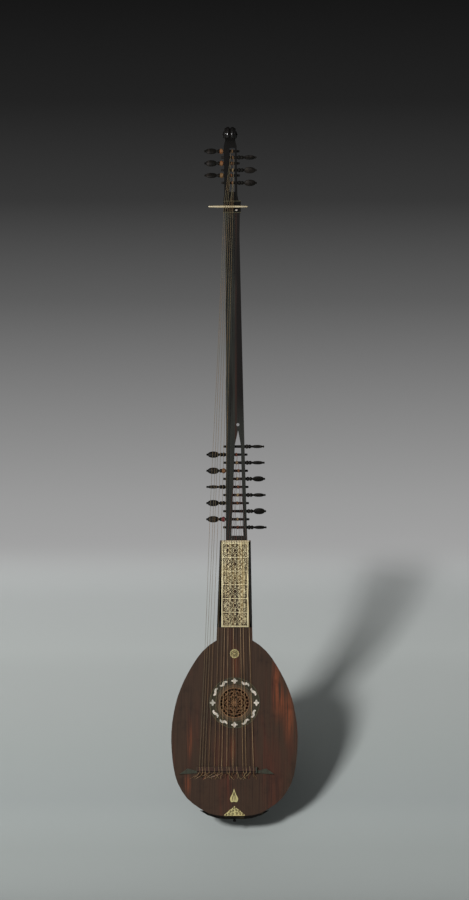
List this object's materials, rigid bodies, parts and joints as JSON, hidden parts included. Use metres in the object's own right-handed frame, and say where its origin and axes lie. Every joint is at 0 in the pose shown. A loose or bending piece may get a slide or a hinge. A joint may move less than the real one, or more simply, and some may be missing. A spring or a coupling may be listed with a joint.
{
  "type": "theorbo",
  "caption": "Long-necked bass lute with a ribbed bowl, pierced rose, engraved neck panel, open peg-boxes and bass strings on a second neck.",
  "frame": {"origin": "centre of the end button's flat foot, at the tail of the bowl", "axes": "+Z along the strings towards the scroll, +X towards the treble side, -Y out of the soundboard towards the viewer"},
  "size_m": [0.3586, 0.1655, 1.9704],
  "materials": {
    "belly": "dark brown varnished softwood with reddish streaks, satin",
    "rose": "orange-brown carved wood, satin",
    "ring": "dark mastic ring set with mother-of-pearl",
    "dark_wood": "near-black stained hardwood, satin",
    "ebony": "polished ebony",
    "peg_wood": "turned and carved dark hardwood, with gut wound on the shaft",
    "rib_wood": "dark red-brown varnished hardwood, semi-gloss",
    "spruce": "bare softwood",
    "ivory": "aged ivory, engraved and polished",
    "gut": "twisted gut, slightly translucent"
  },
  "bodies": {
    "body": {"soundboard": "belly", "rose": "rose", "rosette_ring": "ring", "bridge": "dark_wood", "bowl_rib_1": "rib_wood", "bowl_rib_2": "rib_wood", "bowl_rib_3": "rib_wood", "bowl_rib_4": "rib_wood", "bowl_rib_5": "rib_wood", "bowl_rib_6": "rib_wood", "bowl_rib_7": "rib_wood", "bowl_rib_8": "rib_wood", "bowl_rib_9": "rib_wood", "belly_bar_1": "spruce", "belly_bar_2": "spruce", "belly_bar_3": "spruce", "belly_bar_4": "spruce", "tail_block": "spruce", "neck_block": "spruce", "tail_cap": "ebony", "end_button": "ebony", "neck": "dark_wood", "fingerboard": "ebony", "ivory_panel": "ivory", "nut": "ivory", "extension": "dark_wood", "upper_pegbox": "dark_wood", "upper_nut": "ivory", "stopped_string_1": "gut", "stopped_string_2": "gut", "stopped_string_3": "gut", "stopped_string_4": "gut", "stopped_string_5": "gut", "stopped_string_6": "gut", "stopped_string_7": "gut", "stopped_string_8": "gut", "stopped_string_9": "gut", "diapason_1": "gut", "diapason_2": "gut", "diapason_3": "gut", "diapason_4": "gut", "diapason_5": "gut", "diapason_6": "gut"},
    "lower_peg_1": {"lower_peg_1": "peg_wood"},
    "lower_peg_2": {"lower_peg_2": "peg_wood"},
    "lower_peg_3": {"lower_peg_3": "peg_wood"},
    "lower_peg_4": {"lower_peg_4": "peg_wood"},
    "lower_peg_5": {"lower_peg_5": "peg_wood"},
    "lower_peg_6": {"lower_peg_6": "peg_wood"},
    "lower_peg_7": {"lower_peg_7": "peg_wood"},
    "lower_peg_8": {"lower_peg_8": "peg_wood"},
    "lower_peg_9": {"lower_peg_9": "peg_wood"},
    "lower_peg_10": {"lower_peg_10": "peg_wood"},
    "lower_peg_11": {"lower_peg_11": "peg_wood"},
    "upper_peg_1": {"upper_peg_1": "peg_wood"},
    "upper_peg_2": {"upper_peg_2": "peg_wood"},
    "upper_peg_3": {"upper_peg_3": "peg_wood"},
    "upper_peg_4": {"upper_peg_4": "peg_wood"},
    "upper_peg_5": {"upper_peg_5": "peg_wood"},
    "upper_peg_6": {"upper_peg_6": "peg_wood"}
  },
  "joints": [
    {"name": "lower_peg_1_turn", "type": "hinge", "parent": "body", "child": "lower_peg_1", "pos_m": [0.03531, 0.006, 0.834], "axis": [1, 0, 0], "range_deg": [-90, 450]},
    {"name": "lower_peg_2_turn", "type": "hinge", "parent": "body", "child": "lower_peg_2", "pos_m": [-0.02442, 0.006, 0.85693], "axis": [1, 0, 0], "range_deg": [-90, 450]},
    {"name": "lower_peg_3_turn", "type": "hinge", "parent": "body", "child": "lower_peg_3", "pos_m": [0.03393, 0.006, 0.87986], "axis": [1, 0, 0], "continuous": true},
    {"name": "lower_peg_4_turn", "type": "hinge", "parent": "body", "child": "lower_peg_4", "pos_m": [-0.02427, 0.006, 0.90279], "axis": [1, 0, 0], "range_deg": [-90, 450]},
    {"name": "lower_peg_5_turn", "type": "hinge", "parent": "body", "child": "lower_peg_5", "pos_m": [0.03256, 0.006, 0.92572], "axis": [1, 0, 0], "range_deg": [-90, 450]},
    {"name": "lower_peg_6_turn", "type": "hinge", "parent": "body", "child": "lower_peg_6", "pos_m": [-0.02413, 0.006, 0.94865], "axis": [1, 0, 0], "range_deg": [-90, 450]},
    {"name": "lower_peg_7_turn", "type": "hinge", "parent": "body", "child": "lower_peg_7", "pos_m": [0.03119, 0.006, 0.97158], "axis": [1, 0, 0], "range_deg": [-90, 450]},
    {"name": "lower_peg_8_turn", "type": "hinge", "parent": "body", "child": "lower_peg_8", "pos_m": [-0.02399, 0.006, 0.99451], "axis": [1, 0, 0], "range_deg": [-90, 450]},
    {"name": "lower_peg_9_turn", "type": "hinge", "parent": "body", "child": "lower_peg_9", "pos_m": [0.02982, 0.006, 1.01744], "axis": [1, 0, 0], "range_deg": [-90, 450]},
    {"name": "lower_peg_10_turn", "type": "hinge", "parent": "body", "child": "lower_peg_10", "pos_m": [-0.02385, 0.006, 1.04037], "axis": [1, 0, 0], "range_deg": [-90, 450]},
    {"name": "lower_peg_11_turn", "type": "hinge", "parent": "body", "child": "lower_peg_11", "pos_m": [0.02845, 0.006, 1.0633], "axis": [1, 0, 0], "continuous": true},
    {"name": "upper_peg_1_turn", "type": "hinge", "parent": "body", "child": "upper_peg_1", "pos_m": [0.00752, 0.002, 1.8112], "axis": [1, 0, 0], "range_deg": [-90, 450]},
    {"name": "upper_peg_2_turn", "type": "hinge", "parent": "body", "child": "upper_peg_2", "pos_m": [-0.02957, 0.002, 1.8322], "axis": [1, 0, 0], "range_deg": [-90, 450]},
    {"name": "upper_peg_3_turn", "type": "hinge", "parent": "body", "child": "upper_peg_3", "pos_m": [0.00703, 0.002, 1.8472], "axis": [1, 0, 0], "range_deg": [-90, 450]},
    {"name": "upper_peg_4_turn", "type": "hinge", "parent": "body", "child": "upper_peg_4", "pos_m": [-0.03003, 0.002, 1.8665], "axis": [1, 0, 0], "range_deg": [-90, 450]},
    {"name": "upper_peg_5_turn", "type": "hinge", "parent": "body", "child": "upper_peg_5", "pos_m": [0.00655, 0.002, 1.8832], "axis": [1, 0, 0], "range_deg": [-90, 450]},
    {"name": "upper_peg_6_turn", "type": "hinge", "parent": "body", "child": "upper_peg_6", "pos_m": [-0.03049, 0.002, 1.9008], "axis": [1, 0, 0], "range_deg": [-90, 450]}
  ]
}
